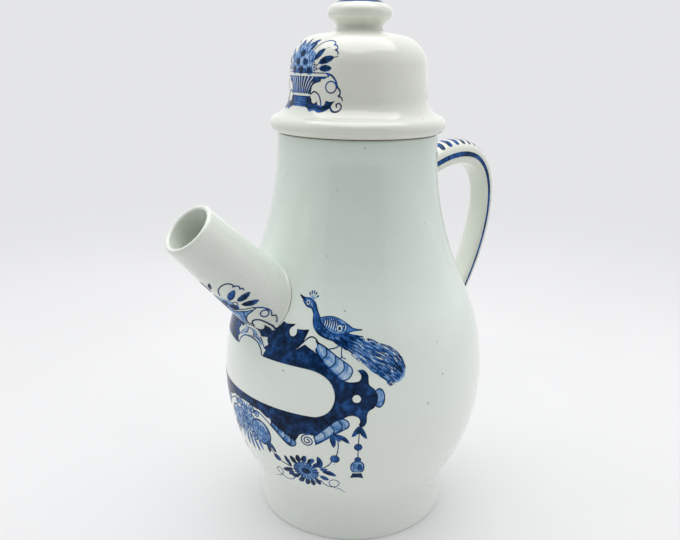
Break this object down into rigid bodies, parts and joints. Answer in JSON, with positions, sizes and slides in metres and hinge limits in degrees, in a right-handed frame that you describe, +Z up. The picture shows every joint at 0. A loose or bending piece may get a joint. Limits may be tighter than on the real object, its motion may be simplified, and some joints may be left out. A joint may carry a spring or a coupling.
{
  "type": "wet drug jar",
  "caption": "Round-bellied glazed earthenware syrup jar with a straight pouring spout, a strap handle and a domed lift-off lid with a knob.",
  "frame": {"origin": "centre of the foot ring, on the table", "axes": "+Z up along the jar's axis, -Y towards the spout, +Y towards the handle"},
  "size_m": [0.129, 0.1934, 0.2509],
  "materials": {
    "body_glaze": "glossy grey-white tin glaze",
    "white_glaze": "glossy warm white tin glaze",
    "cobalt_paint": "hand-painted cobalt blue in the glaze"
  },
  "bodies": {
    "jar": {"jar_body": "body_glaze", "spout": "white_glaze", "spout_seam": "white_glaze", "handle": "white_glaze", "handle_top_seam": "white_glaze", "handle_low_seam": "white_glaze"},
    "lid": {"lid_cover": "white_glaze", "lid_locating_ring": "white_glaze", "lid_knob": "white_glaze", "knob_seam": "white_glaze"}
  },
  "joints": [
    {"name": "lid_lift", "type": "slide", "parent": "jar", "child": "lid", "axis": [0, 0, 1], "range_m": [0, 0.12]}
  ]
}
